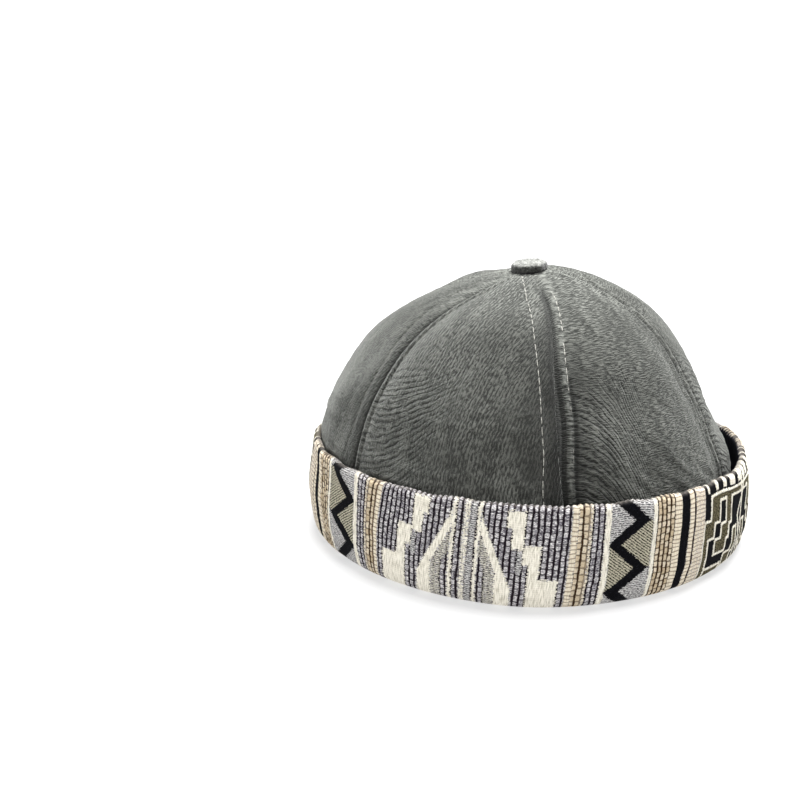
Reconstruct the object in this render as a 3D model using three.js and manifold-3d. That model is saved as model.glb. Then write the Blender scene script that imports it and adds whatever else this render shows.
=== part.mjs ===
// A brimless six-panel skull cap: a soft crown of six cloth panels with a covered button at the top,
// a woven cuff turned up all round, and two leather strap ends that close over the back opening.
// Millimetres, +Z up, front of the cap towards -Y. Azimuth 0 is the front, +90 the wearer's left (+X).

import * as THREE from 'three';
import { mergeVertices } from 'three/addons/utils/BufferGeometryUtils.js';
import Module from 'manifold-3d';

const wasm = await Module();
wasm.setup();

// Driving dimensions: clearances
const gap = 0.3; // between pieces that are sewn or laid against each other

// Driving dimensions: the plan, seen from above
const planExponent = 1.85; // a shade squarer than an ellipse turned on its corner
const planTurn = 18.5; // degrees from the front to the plan's long axis
const crownLength = 1.03; // plan length over plan width
const cuffLength = 1.02;

// Driving dimensions: the crown
const clothWall = 1.6;
// azimuths of the six seams
const seams = {
  frontLeft: 30, sideLeft: 91, backLeft: 148, frontRight: -36, sideRight: -91, backRight: -148,
};
const leanAzimuth = -71.5; // the soft crown leans this way
const seamDepth = 1.7; // the valley along each seam
const seamReach = 7; // from the seam to where the cloth is full again
const seamFadeRadius = 30; // the valleys run out inside this radius, under the button
const panelFullness = 1.1; // how far the middle of a panel stands out
const fullnessReach = 17.5; // from the seam to where the panel stands out fully
const fullnessFadeRadius = 80;
const columnCrowding = 0.11; // how far the mesh columns draw towards the seams
// height and radius of the outside of the cloth, and how far the section leans
const crownRows = [
  { height: 4.1, radius: 90.8, lean: 0.0 },
  { height: 14.0, radius: 92.0, lean: 0.7 },
  { height: 27.0, radius: 92.7, lean: 1.7 },
  { height: 40.0, radius: 92.2, lean: 2.7 },
  { height: 53.7, radius: 87.8, lean: 4.1 },
  { height: 67.4, radius: 82.2, lean: 4.8 },
  { height: 79.1, radius: 75.4, lean: 4.7 },
  { height: 91.3, radius: 66.8, lean: 3.9 },
  { height: 101.1, radius: 56.5, lean: 2.7 },
  { height: 108.9, radius: 44.4, lean: 1.5 },
  { height: 114.4, radius: 30.6, lean: 1.2 },
  { height: 118.0, radius: 15.2, lean: 2.2 },
  { height: 119.0, radius: 3.1, lean: 3.4 },
];
// soft hollows in the cloth: centre, reach along and across, turn of the long way, depth
const hollows = [
  { azimuth: 112, height: 66, long: 24, across: 9, turn: 38, depth: 3.6 },
  { azimuth: 134, height: 60, long: 17, across: 8, turn: 20, depth: 3.4 },
  { azimuth: -108, height: 62, long: 22, across: 10, turn: -35, depth: 2.6 },
  { azimuth: -134, height: 58, long: 15, across: 8, turn: -20, depth: 2.8 },
  { azimuth: 180, height: 50, long: 42, across: 17, turn: 90, depth: 5.2 },
];

// Driving dimensions: the back opening
const hemHeight = 44; // lower edge of the back panel at its two corners
const hemArch = 4; // how much higher it stands in the middle
const hemWall = 3.4; // the rolled hem is thicker than the cloth
const hemBand = 8;

// Driving dimensions: the cuff
const cuffWall = 3.6;
const cuffEnd = 137; // azimuth of its two cut ends
const rimHeight = 41;
const rimRise = 3.2; // how much higher the rim stands at the front
const rimWall = 1.6; // the flat left at the very top of the rounded rim
const rimCrest = 0.8;
const cuffInnerEdge = 89.2; // the band is turned in under the crown as far as this
const cuffFootEnd = 3; // the flat foot's outer row, this far inside the start of the fold
const cuffFoldRadius = 3.4;
// outside of the standing leg
const cuffRows = [
  { height: 4.5, radius: 98.9 },
  { height: 12, radius: 100.3 },
  { height: 20, radius: 100.6 },
  { height: 30, radius: 99.9 },
  { height: 37, radius: 99.3 },
  { height: 41, radius: 98.7 },
];

// Driving dimensions: the casings, a vertical fold of crown cloth beside each end of the cuff
const casing = {
  from: 137.5, to: 149, inner: 93.6, outer: 99.2, top: 44.5,
  rollHeight: 5, rollDepth: 2.2, // the top is rolled in
  footHeight: 3, footDepth: 1.2, // and so is the foot
  edgeDepth: 0.8,
};
const casingCover = cuffEnd - 0.4; // from here round the back the crown keeps inside the casing

// Driving dimensions: the strap
const strapWidth = 29;
const strapBottom = 2.6;
const strapWall = 2;
const strapHidden = 139.6; // azimuth of the sewn-in end, inside the casing
const strapSewnRadius = 95.7; // middle of the leather, inside the casing
const strapBackRadius = 100.6; // middle of the leather at the back of the head
const outerStrapEnd = 204; // azimuth of the free end of the outer strap
const innerStrapEnd = 166;
const strapParted = innerStrapEnd - 2; // by here the two straps lie one over the other
const closurePad = { from: 172, to: 194, width: 22, wall: 1.4 };

// Driving dimensions: the button
const button = { seat: 119.2, tilt: 4, sides: 20 };
// its outline from the foot of the post to the top of the dome
const buttonRows = [
  { radius: 0, height: -7 },
  { radius: 2.2, height: -7 },
  { radius: 2.2, height: 0.2 },
  { radius: 6.8, height: 0 },
  { radius: 8, height: 1.1 },
  { radius: 7.7, height: 2.7 },
  { radius: 5.8, height: 4.4 },
  { radius: 3, height: 5.2 },
  { radius: 0, height: 5.4 },
];

const radians = THREE.MathUtils.degToRad;
const degrees = THREE.MathUtils.radToDeg;

// how far the plan reaches at an azimuth, for a plan one unit wide
function planReach(azimuth, length) {
  const across = Math.abs(Math.sin(radians(azimuth - planTurn)));
  const along = Math.abs(Math.cos(radians(azimuth - planTurn))) / length;
  return (across ** planExponent + along ** planExponent) ** (-1 / planExponent);
}

function polar(azimuth, radius, height) {
  const x = radius * Math.sin(radians(azimuth));
  const y = -radius * Math.cos(radians(azimuth));
  return new THREE.Vector3(x, y, height);
}

// the turn from one azimuth to another, between -180 and 180
function turnBetween(from, to) {
  return ((to - from + 540) % 360) - 180;
}

// a value read from a table by height
function readRows(rows, height, column) {
  const last = rows.length - 1;
  if (height <= rows[0].height) return rows[0][column];
  if (height >= rows[last].height) return rows[last][column];
  const next = rows.findIndex((row) => row.height >= height);
  const a = rows[next - 1];
  const b = rows[next];
  return THREE.MathUtils.mapLinear(height, a.height, b.height, a[column], b[column]);
}

// A closed block with a grid of faces, bent to shape by place(u, v, w), each from 0 to 1.
function bentBlock(steps, place) {
  const block = new THREE.BoxGeometry(1, 1, 1, steps.u, steps.v, steps.w ?? 1);
  const points = block.attributes.position;
  for (let i = 0; i < points.count; i += 1) {
    const p = place(points.getX(i) + 0.5, points.getY(i) + 0.5, points.getZ(i) + 0.5);
    points.setXYZ(i, p.x, p.y, p.z);
  }
  block.computeVertexNormals();
  return block;
}

// The crown's outline as a smooth curve: x is the radius, y the height, z the lean.
const crownCurve = new THREE.CatmullRomCurve3(
  crownRows.map((row) => new THREE.Vector3(row.radius, row.height, row.lean)));

function curveShareAtHeight(height) {
  const halvings = 30;
  let low = 0;
  let high = 1;
  for (let i = 0; i < halvings; i += 1) {
    const middle = (low + high) / 2;
    if (crownCurve.getPoint(middle).y < height) low = middle;
    else high = middle;
  }
  return low;
}

function seamDistance(azimuth, radius) {
  const turns = Object.values(seams).map((seam) => Math.abs(turnBetween(seam, azimuth)));
  return radians(Math.min(...turns)) * radius;
}

function hollowDepth(azimuth, radius, height) {
  let depth = 0;
  for (const hollow of hollows) {
    const x = radians(turnBetween(hollow.azimuth, azimuth)) * radius;
    const y = height - hollow.height;
    const turn = radians(hollow.turn);
    const along = (x * Math.sin(turn) + y * Math.cos(turn)) / hollow.long;
    const across = (x * Math.cos(turn) - y * Math.sin(turn)) / hollow.across;
    depth += hollow.depth * Math.exp(-(along ** 2) - across ** 2);
  }
  return depth;
}

// how much higher the rim stands at an azimuth than at the back
function rimLift(azimuth) {
  return Math.max(0, Math.cos(radians(azimuth - planTurn))) ** 2 * rimRise;
}

// the inside of the cuff or casing that stands round the crown, or null above it
function coverInside(azimuth, height) {
  const reach = planReach(azimuth, cuffLength);
  if (Math.abs(azimuth) > casingCover) {
    return height < casing.top + gap ? casing.inner * reach : null;
  }
  const evenHeight = height / (1 + rimLift(azimuth) / rimHeight);
  if (evenHeight > rimHeight + 2 * gap) return null;
  return (readRows(cuffRows, evenHeight, 'radius') - cuffWall) * reach;
}

// A point of the crown: share runs up the outline, depth is measured into the cloth.
function crownPoint(azimuth, share, depth) {
  const row = crownCurve.getPoint(share);
  const slope = crownCurve.getTangent(share);
  const outward = new THREE.Vector2(slope.y, -slope.x).normalize();
  const fromSeam = seamDistance(azimuth, row.x);
  const valley = seamDepth * Math.exp(-((fromSeam / seamReach) ** 2)) * Math.min(1, row.x / seamFadeRadius);
  const swell = 1 - Math.exp(-((fromSeam / fullnessReach) ** 2));
  const fullness = panelFullness * swell * Math.min(1, row.x / fullnessFadeRadius);
  const inside = depth + valley - fullness + hollowDepth(azimuth, row.x, row.y);
  const radius = (row.x - outward.x * inside) * planReach(azimuth, crownLength);
  const point = polar(azimuth, radius, row.y - outward.y * inside).add(polar(leanAzimuth, row.z, 0));
  const reach = Math.hypot(point.x, point.y);
  const cover = coverInside(degrees(Math.atan2(point.x, -point.y)), point.z);
  const squeeze = cover === null ? 1 : Math.min(1, (cover - 2 * gap - depth) / reach);
  return point.multiply(new THREE.Vector3(squeeze, squeeze, 1));
}

// the lower edge of the back panel
function hemShare(azimuth) {
  const across = (azimuth - 180) / (180 - seams.backLeft);
  return curveShareAtHeight(hemHeight + hemArch * (1 - across ** 2));
}

function crownPanel(from, to, isBack) {
  const steps = { u: 12, v: isBack ? 16 : 20 };
  return bentBlock(steps, (u, v, w) => {
    const crowded = u - columnCrowding * Math.sin(2 * Math.PI * u);
    const middle = THREE.MathUtils.lerp(from, to, crowded);
    const low = isBack ? hemShare(middle) : 0;
    const share = THREE.MathUtils.lerp(low, 1, v);
    const trim = degrees((gap / 2) / crownCurve.getPoint(share).x);
    const azimuth = THREE.MathUtils.clamp(middle, from + trim, to - trim);
    const fromHem = (share - low) * crownCurve.getLength() / hemBand;
    const inHem = isBack && fromHem < 1;
    const wall = inHem ? THREE.MathUtils.lerp(hemWall, clothWall, fromHem ** 2) : clothWall;
    return crownPoint(azimuth, share, (1 - w) * wall);
  });
}

// The cuff's section is a J: a short foot turned in under the crown, a round fold and a standing leg.
function cuffMidline(azimuth) {
  const rise = rimLift(azimuth);
  const half = cuffWall / 2;
  const foldStart = cuffRows[0].radius - half - cuffFoldRadius;
  const points = [cuffInnerEdge, foldStart - cuffFootEnd, foldStart]
    .map((radius) => new THREE.Vector2(radius, half));
  for (const turn of [30, 60, 90].map(radians)) {
    const x = foldStart + cuffFoldRadius * Math.sin(turn);
    points.push(new THREE.Vector2(x, half + cuffFoldRadius * (1 - Math.cos(turn))));
  }
  for (const row of cuffRows.slice(1)) {
    const share = row.height / rimHeight;
    points.push(new THREE.Vector2(row.radius - half, row.height + rise * share));
  }
  return points;
}

function cuffSolid() {
  const steps = { u: 76, v: cuffMidline(0).length - 1, w: 2 };
  return bentBlock(steps, (u, v, w) => {
    const azimuth = THREE.MathUtils.lerp(-cuffEnd, cuffEnd, u);
    const line = cuffMidline(azimuth);
    const index = Math.round(v * (line.length - 1));
    const before = line[Math.max(index - 1, 0)];
    const after = line[Math.min(index + 1, line.length - 1)];
    const along = after.clone().sub(before).normalize();
    const outward = new THREE.Vector2(along.y, -along.x);
    const isRim = index === line.length - 1;
    const p = line[index].clone().addScaledVector(outward, (w - 0.5) * (isRim ? rimWall : cuffWall));
    if (isRim && w === 0.5) p.y += rimCrest;
    return polar(azimuth, p.x * planReach(azimuth, cuffLength), p.y);
  });
}

// radius of the middle of the leather: held close in the casings, standing off at the back
function strapRadius(azimuth) {
  const fromBack = Math.abs(turnBetween(180, azimuth));
  const free = THREE.MathUtils.clamp(1 - fromBack / (180 - casing.to), 0, 1);
  return THREE.MathUtils.lerp(strapSewnRadius, strapBackRadius, free * (2 - free));
}

// A strap from one azimuth to another. The two straps part by the closure pad where they overlap.
function strapSolid(from, to, side, margin = 0) {
  const trim = degrees(margin / strapSewnRadius);
  const apart = (strapWall + closurePad.wall) / 2 + gap;
  return bentBlock({ u: 30, v: 2 }, (u, v, w) => {
    const azimuth = THREE.MathUtils.lerp(from - trim, to + trim, u);
    const fromSewn = side > 0 ? azimuth : 360 - azimuth;
    const shift = THREE.MathUtils.smoothstep(fromSewn, casing.to, strapParted) * apart * side;
    const middle = strapRadius(azimuth) * planReach(azimuth, cuffLength) + shift;
    const height = strapBottom - margin + v * (strapWidth + 2 * margin);
    return polar(azimuth, middle + (w - 0.5) * (strapWall + 2 * margin), height);
  });
}

function casingSolid(side) {
  const from = side > 0 ? casing.from : 360 - casing.to;
  return bentBlock({ u: 5, v: 10, w: 2 }, (u, v, w) => {
    const azimuth = from + u * (casing.to - casing.from);
    const height = v * casing.top;
    const roll = Math.max(0, 1 - (casing.top - height) / casing.rollHeight);
    const foot = Math.max(0, 1 - height / casing.footHeight);
    const edge = Math.abs(2 * u - 1) ** 6;
    const drawnIn = casing.rollDepth * roll ** 2 + casing.footDepth * foot + casing.edgeDepth * edge;
    const radius = THREE.MathUtils.lerp(casing.inner, casing.outer - drawnIn, w);
    return polar(azimuth, radius * planReach(azimuth, cuffLength), height);
  });
}

function closureSolid() {
  const bottom = strapBottom + (strapWidth - closurePad.width) / 2;
  return bentBlock({ u: 8, v: 1 }, (u, v, w) => {
    const azimuth = THREE.MathUtils.lerp(closurePad.from, closurePad.to, u);
    const middle = strapRadius(azimuth) * planReach(azimuth, cuffLength);
    return polar(azimuth, middle + (w - 0.5) * closurePad.wall, bottom + v * closurePad.width);
  });
}

function toManifold(geometry) {
  const bare = geometry.clone();
  bare.deleteAttribute('normal');
  bare.deleteAttribute('uv');
  const welded = mergeVertices(bare, 1e-4);
  return new wasm.Manifold(new wasm.Mesh({
    numProp: 3,
    vertProperties: new Float32Array(welded.attributes.position.array),
    triVerts: new Uint32Array(welded.index.array),
  }));
}

function cut(geometry, tool) {
  const mesh = toManifold(geometry).subtract(toManifold(tool)).getMesh();
  const result = new THREE.BufferGeometry();
  result.setAttribute('position', new THREE.BufferAttribute(mesh.vertProperties, 3));
  result.setIndex(new THREE.BufferAttribute(mesh.triVerts, 1));
  result.computeVertexNormals();
  return result;
}

// A cloth-covered button on a short post that goes down through the hole where the panels meet.
function buttonSolid() {
  const profile = buttonRows.map((row) => new THREE.Vector2(row.radius, row.height));
  return new THREE.LatheGeometry(profile, button.sides).rotateX(Math.PI / 2);
}

const clothFinish = new THREE.MeshStandardMaterial({ color: 0x5a5c57, roughness: 0.95, metalness: 0 });
const buttonFinish = new THREE.MeshStandardMaterial({ color: 0x8b8d88, roughness: 0.95, metalness: 0 });
const cuffFinish = new THREE.MeshStandardMaterial({ color: 0xb5ab98, roughness: 0.9, metalness: 0 });
const leatherFinish = new THREE.MeshStandardMaterial({ color: 0x5c4840, roughness: 0.5, metalness: 0 });
const closureFinish = new THREE.MeshStandardMaterial({ color: 0x2b2a2a, roughness: 0.9, metalness: 0 });

function piece(name, geometry, finish) {
  const mesh = new THREE.Mesh(geometry, finish);
  mesh.name = name;
  return mesh;
}

const cap = new THREE.Group();
const panels = [
  { name: 'panel_front', from: seams.frontRight, to: seams.frontLeft },
  { name: 'panel_front_left', from: seams.frontLeft, to: seams.sideLeft },
  { name: 'panel_front_right', from: seams.sideRight, to: seams.frontRight },
  { name: 'panel_back_left', from: seams.sideLeft, to: seams.backLeft },
  { name: 'panel_back_right', from: seams.backRight, to: seams.sideRight },
  { name: 'panel_back', from: seams.backLeft, to: 360 + seams.backRight, isBack: true },
];
for (const { name, from, to, isBack } of panels) {
  cap.add(piece(name, crownPanel(from, to, isBack), clothFinish));
}
cap.add(piece('cuff', cuffSolid(), cuffFinish));

// the two sides: the left strap lies outside, the right one under it
const sides = [
  { name: 'left', side: 1, from: strapHidden, to: outerStrapEnd },
  { name: 'right', side: -1, from: innerStrapEnd, to: 360 - strapHidden },
];
for (const { name, side, from, to } of sides) {
  const pocket = strapSolid(from, to, side, gap);
  cap.add(piece(`casing_${name}`, cut(casingSolid(side), pocket), clothFinish));
  cap.add(piece(`strap_${name}`, strapSolid(from, to, side), leatherFinish));
}
cap.add(piece('strap_closure', closureSolid(), closureFinish));

const coveredButton = piece('crown_button', buttonSolid(), buttonFinish);
const top = crownRows[crownRows.length - 1];
coveredButton.position.copy(polar(leanAzimuth, top.lean, button.seat));
coveredButton.rotation.y = radians(button.tilt);
cap.add(coveredButton);

// The origin is the middle of the foot of the whole cap.
const reach = new THREE.Box3().setFromObject(cap, true);
const centre = reach.getCenter(new THREE.Vector3());
cap.position.set(-centre.x, -centre.y, -reach.min.z);

export default cap;
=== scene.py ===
import math
from collections import namedtuple
from functools import cache

import bmesh
import bpy
import numpy as np
from mathutils import Matrix, Vector


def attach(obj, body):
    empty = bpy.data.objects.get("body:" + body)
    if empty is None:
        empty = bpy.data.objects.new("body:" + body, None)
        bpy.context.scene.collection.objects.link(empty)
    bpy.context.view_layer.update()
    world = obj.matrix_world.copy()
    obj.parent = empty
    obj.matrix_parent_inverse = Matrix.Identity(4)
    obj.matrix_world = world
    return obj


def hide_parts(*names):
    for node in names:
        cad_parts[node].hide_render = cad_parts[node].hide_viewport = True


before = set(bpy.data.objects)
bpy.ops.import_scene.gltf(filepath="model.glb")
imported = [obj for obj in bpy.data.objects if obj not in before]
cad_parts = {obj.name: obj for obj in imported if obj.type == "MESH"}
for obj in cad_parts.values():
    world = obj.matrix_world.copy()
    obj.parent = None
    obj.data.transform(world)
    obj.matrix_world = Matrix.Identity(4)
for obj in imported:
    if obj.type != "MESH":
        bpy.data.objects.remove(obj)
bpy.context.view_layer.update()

# Lengths are in millimetres and angles in degrees, and a mesh is brought to metres when it is made.
# Azimuth 0 is the front of the cap, +90 the wearer's left, as in the solids.
MM = 0.001
MAP_UNIT = 100  # millimetres of cloth in one unit of a UV map
SHIFT = np.array((0.0045, -1.4715, 0.0))  # from the cap's own axis to the middle of its footprint

# The plan, the crown and the cuff repeat the solids.
PLAN_EXPONENT = 1.85
PLAN_TURN = 18.5
CROWN_LENGTH = 1.03
CUFF_LENGTH = 1.02
CLOTH = 1.6
SEAMS = {"front_left": 30, "side_left": 91, "back_left": 148,
         "front_right": -36, "side_right": -91, "back_right": -148}
LEAN_AZIMUTH = -71.5
# height, radius and lean of the crown's outside
CROWN_ROWS = np.array([
    (4.1, 90.8, 0.0), (14.0, 92.0, 0.7), (27.0, 92.7, 1.7), (40.0, 92.2, 2.7), (53.7, 87.8, 4.1),
    (67.4, 82.2, 4.8), (79.1, 75.4, 4.7), (91.3, 66.8, 3.9), (101.1, 56.5, 2.7), (108.9, 44.4, 1.5),
    (114.4, 30.6, 1.2), (118.0, 15.2, 2.2), (119.0, 3.1, 3.4)])
CROWN_ARC = 163.0  # length of the crown's outline from its lower edge to the button
HEM_HEIGHT, HEM_ARCH, HEM_BAND = 44.0, 4.0, 8.0
HEM_CLEAR = HEM_HEIGHT + 1.5  # where the tapes and the rows of stitches begin above the hem
CUFF_WALL, CUFF_END, RIM_HEIGHT, RIM_RISE = 3.6, 137.0, 41.0, 3.2
# height and outside radius of the cuff's standing leg
CUFF_ROWS = np.array([(4.5, 98.9), (12, 100.3), (20, 100.6), (30, 99.9), (37, 99.3), (41, 98.7)])
CASING = {"from": 137.5, "to": 149.0, "inner": 93.6, "outer": 99.2, "top": 44.5}
STRAP_WIDTH, STRAP_BOTTOM, STRAP_WALL = 29.0, 2.6, 2.0
STRAP_SEWN, STRAP_BACK = 95.7, 100.6
OUTER_END, INNER_END, STRAP_HIDDEN = 204.0, 166.0, 139.6
CLOSURE = {"from": 172.0, "to": 194.0, "width": 22.0, "wall": 1.4}


def plan_reach(azimuth, length):
    """How far the plan reaches at an azimuth, for a plan one unit wide."""
    turn = np.radians(azimuth - PLAN_TURN)
    across = np.abs(np.sin(turn)) ** PLAN_EXPONENT
    along = (np.abs(np.cos(turn)) / length) ** PLAN_EXPONENT
    return (across + along) ** (-1 / PLAN_EXPONENT)


def polar(azimuth, radius, height):
    turn = np.radians(azimuth)
    return np.stack(np.broadcast_arrays(radius * np.sin(turn), -radius * np.cos(turn), height), axis=-1)


def spline(rows, share):
    """A smooth curve through the rows of a table, read at a share of the way along it."""
    last = len(rows) - 1
    place = np.clip(share, 0, 1) * last
    first = np.minimum(place.astype(int), last - 1)
    t = (place - first)[..., None]
    a, b, c, d = (rows[np.clip(first + step, 0, last)] for step in (-1, 0, 1, 2))
    return b + 0.5 * t * ((c - a) + t * ((2 * a - 5 * b + 4 * c - d) + t * (3 * b - a - 3 * c + d)))


def bump(distance, width):
    """A round hump of height 1, as wide as the width to each side."""
    return np.exp(-((distance / width) ** 2))


def smooth(x, low, high):
    """0 below low, 1 above high, and an eased slope between."""
    t = np.clip((x - low) / (high - low), 0, 1)
    return t * t * (3 - 2 * t)


def waves(x, y, pitch, direction, spread, seed, count=9):
    """Seeded ripples of about height 1 that run across a direction, with some spread about it."""
    rng = np.random.default_rng(seed)
    total = 0
    for _ in range(count):
        turn = math.radians(direction + rng.normal(0, spread))
        rate = 2 * math.pi / (pitch * rng.uniform(0.75, 1.35))
        start = rng.uniform(0, 2 * math.pi)
        total = total + np.sin(rate * (x * math.cos(turn) + y * math.sin(turn)) + start)
    return total * math.sqrt(2 / count) * 0.7


def in_scene(name, data):
    obj = bpy.data.objects.new(name, data)
    bpy.context.scene.collection.objects.link(obj)
    return obj


def mesh_object(name, bm, material):
    mesh = bpy.data.meshes.new(name)
    bm.to_mesh(mesh)
    bm.free()
    mesh.materials.append(material)
    return in_scene(name, mesh)


def new_piece(name, bm, material, node=None):
    """A finished mesh in metres that rides on the cap, in place of a node of the solids if one is named."""
    obj = mesh_object(name, bm, material)
    obj.data.shade_smooth()
    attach(obj, "root")
    if node:
        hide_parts(node)
    return obj


def bent_grid(columns, rows, place, maps=None, attributes=None):
    """A grid of cloth bent to shape. place(s, t) gives its points in millimetres for s along and t up it.
    maps names the UV maps and attributes the painted values, each a function of s and t."""
    bm = bmesh.new()
    bmesh.ops.create_grid(bm, x_segments=columns, y_segments=rows, size=0.5)
    bm.verts.ensure_lookup_table()
    s = np.array([v.co.x for v in bm.verts]) + 0.5
    t = np.array([v.co.y for v in bm.verts]) + 0.5
    points = (place(s, t) + SHIFT) * MM
    for v, p in zip(bm.verts, points):
        v.co = p
    for name, function in (attributes or {}).items():
        layer = bm.verts.layers.float.new(name)
        for v, value in zip(bm.verts, np.broadcast_to(function(s, t), s.shape)):
            v[layer] = value
    for name, function in (maps or {}).items():
        layer = bm.loops.layers.uv.new(name)
        across, along = (np.broadcast_to(x, s.shape) for x in function(s, t))
        for face in bm.faces:
            for loop in face.loops:
                i = loop.vert.index
                loop[layer].uv = (across[i], along[i])
    return bm


def sheet(name, bm, wall, offset, material, node=None):
    """A bent grid with its wall's thickness, inside it at an offset of -1 and to both sides of it at 0."""
    bmesh.ops.recalc_face_normals(bm, faces=bm.faces)
    obj = new_piece(name, bm, material, node)
    modifier = obj.modifiers.new("wall", "SOLIDIFY")
    modifier.thickness = wall * MM
    modifier.offset = offset
    return obj


# The crown

UNCOVERED = 999.0  # stands for no cover round the crown
COVER_GAP = 0.6  # least room between the crown and what covers it
# soft hollows: azimuth, height, reach along and across, turn of the long way, depth
HOLLOWS = (
    (112, 66, 24, 9, 38, 3.6), (134, 60, 17, 8, 20, 3.4), (-108, 62, 22, 10, -35, 2.6),
    (-134, 58, 15, 8, -20, 2.8), (180, 50, 42, 17, 90, 5.2),
)
# the cloth stands up beside the button: azimuth, distance from the axis, reach, height
FULLNESS = (122, 17, 25, 3.6)
MAIN_SEAM = SEAMS["front_left"]
SEAM_DEPTH, SEAM_REACH = 1.7, 8.0
# how strongly the cloth gathers beside a seam, 1 for the others
GATHER = {"front_left": 0.35, "front_right": 0.15}
# distances from a seam: the pockets and the rows of stitches before and after it
POCKETS_BEFORE, POCKETS_AFTER = 2.9, 2.8
ROW_BEFORE, ROW_AFTER = 8.5, 5.2
TAPE_WIDTH, TAPE_WALL = 11, 0.8
ROWS_FROM, ROWS_TO, TAPE_TO = 37.0, 0.965, 0.955  # the height where rows begin, and shares where they end

# A panel runs from one seam to the next. twill is how much of it shows steep lines, not level ripples.
# Creases fan out from its first seam low down: fall is how steeply they run, then their pitch and reach.
Panel = namedtuple("Panel", "start end seed twill fall pitch reach")
PANELS = {
    "panel_front": Panel(SEAMS["front_right"], SEAMS["front_left"], 100, 1.0, -0.30, 2.9, 42),
    "panel_front_left": Panel(SEAMS["front_left"], SEAMS["side_left"], 107, 0.0, 0.8, 2.7, 36),
    "panel_front_right": Panel(SEAMS["side_right"], SEAMS["front_right"], 114, 0.55, 0.3, 3.0, 24),
    "panel_back_left": Panel(SEAMS["side_left"], SEAMS["back_left"], 121, 0.35, 0.7, 2.8, 26),
    "panel_back_right": Panel(SEAMS["back_right"], SEAMS["side_right"], 128, 0.2, 0.6, 3.0, 26),
    "panel_back": Panel(SEAMS["back_left"], 360 + SEAMS["back_right"], 150, 0.5, -0.3, 3.6, 30),
}


def rim_lift(azimuth):
    """How much higher the cuff's rim stands at an azimuth than at the back."""
    return np.maximum(0, np.cos(np.radians(azimuth - PLAN_TURN))) ** 2 * RIM_RISE


def cuff_radius(height):
    """The outside radius of the cuff's standing leg, for a plan one unit wide."""
    return np.interp(height, CUFF_ROWS[:, 0], CUFF_ROWS[:, 1])


def cover_inside(azimuth, height):
    """The inside of the cuff or casing round the crown."""
    reach = plan_reach(azimuth, CUFF_LENGTH)
    even = height / (1 + rim_lift(azimuth) / RIM_HEIGHT)
    cuff = np.where(even > RIM_HEIGHT + 0.6, UNCOVERED, (cuff_radius(even) - CUFF_WALL) * reach)
    casing = np.where(height < CASING["top"] + 0.3, CASING["inner"] * reach, UNCOVERED)
    return np.where(np.abs(azimuth) > CUFF_END - 0.4, casing, cuff)


def crown_share(height):
    """The share of the crown's outline at a height."""
    shares = np.linspace(0, 1, 2001)
    return np.interp(height, spline(CROWN_ROWS, shares)[:, 0], shares)


def crown_radius(share):
    return spline(CROWN_ROWS, share)[..., 1]


def turn_between(start, end):
    return (end - start + 540) % 360 - 180


def hollow_depth(azimuth, radius, height):
    depth = 0
    for at, level, long, across, turn, deep in HOLLOWS:
        x = np.radians(turn_between(at, azimuth)) * radius
        y = height - level
        c, s = math.cos(math.radians(turn)), math.sin(math.radians(turn))
        depth = depth + deep * bump((x * s + y * c) / long, 1) * bump((x * c - y * s) / across, 1)
    return depth


def crown_surface(azimuth, share, lift):
    """Points at a lift off the crown's outside, drawn in where the cuff or a casing lies round them."""
    height, radius, lean = np.moveaxis(spline(CROWN_ROWS, share), -1, 0)
    step = 0.002
    ahead, behind = (spline(CROWN_ROWS, share + d) for d in (step, -step))
    rise, draw = ahead[..., 0] - behind[..., 0], behind[..., 1] - ahead[..., 1]
    length = np.hypot(rise, draw)
    out, up = rise / length, draw / length
    at, away, reach, high = FULLNESS
    beside = np.linalg.norm(polar(azimuth, radius, 0.0) - polar(np.array(float(at)), away, 0.0), axis=-1)
    lift = lift - hollow_depth(azimuth, radius, height) + high * bump(beside, reach)
    points = polar(azimuth, (radius + out * lift) * plan_reach(azimuth, CROWN_LENGTH), height + up * lift)
    points = points + polar(LEAN_AZIMUTH, 1.0, 0.0) * lean[..., None]
    around = np.degrees(np.arctan2(points[..., 0], -points[..., 1]))
    room = cover_inside(around, points[..., 2]) - COVER_GAP
    squeeze = np.minimum(1, room / np.hypot(points[..., 0], points[..., 1]))
    return points * np.stack((squeeze, squeeze, np.ones_like(squeeze)), axis=-1)


def stitch_offset(side, along):
    """How far a row of stitches runs from its seam, which changes near the top."""
    share = along / CROWN_ARC
    top = smooth(share, 0.5, 0.76)
    return ROW_BEFORE - 2.2 * smooth(share, 0.27, 0.40) + 2.0 * top if side < 0 else ROW_AFTER - 1.1 * top


def seam_bend(azimuth, along):
    """How far the groove of the main seam strays past the border of its panels."""
    if (azimuth - MAIN_SEAM) % 360:
        return 0.0 * along
    return 2.5 * np.where(along > 75, bump(along - 75, 16), bump(along - 75, 20))


def pockets(distance, along, at, seed):
    """Small hollows in a row beside a seam, where the cloth gathers between the stitches."""
    rng = np.random.default_rng(seed)
    total = 0
    for place in np.arange(22, 152, 5.4):
        middle, size = place + rng.uniform(-1.6, 1.6), rng.uniform(1.3, 2.4)
        beside = distance - at - rng.uniform(-0.5, 0.5)
        total = total + rng.uniform(0.3, 1) * bump(along - middle + 0.5 * beside, size) * bump(beside, 1.0)
    return total


def seam_pockets(past, along, azimuth):
    """How strongly a seam gathers, and its pockets before and after it."""
    gather = next(GATHER.get(name, 1.0) for name, at in SEAMS.items() if (azimuth - at) % 360 == 0)
    seed = int(azimuth) % 360
    before = pockets(-past, along, POCKETS_BEFORE, seed + 1)
    return gather, before, pockets(past, along, POCKETS_AFTER, seed)


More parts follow.
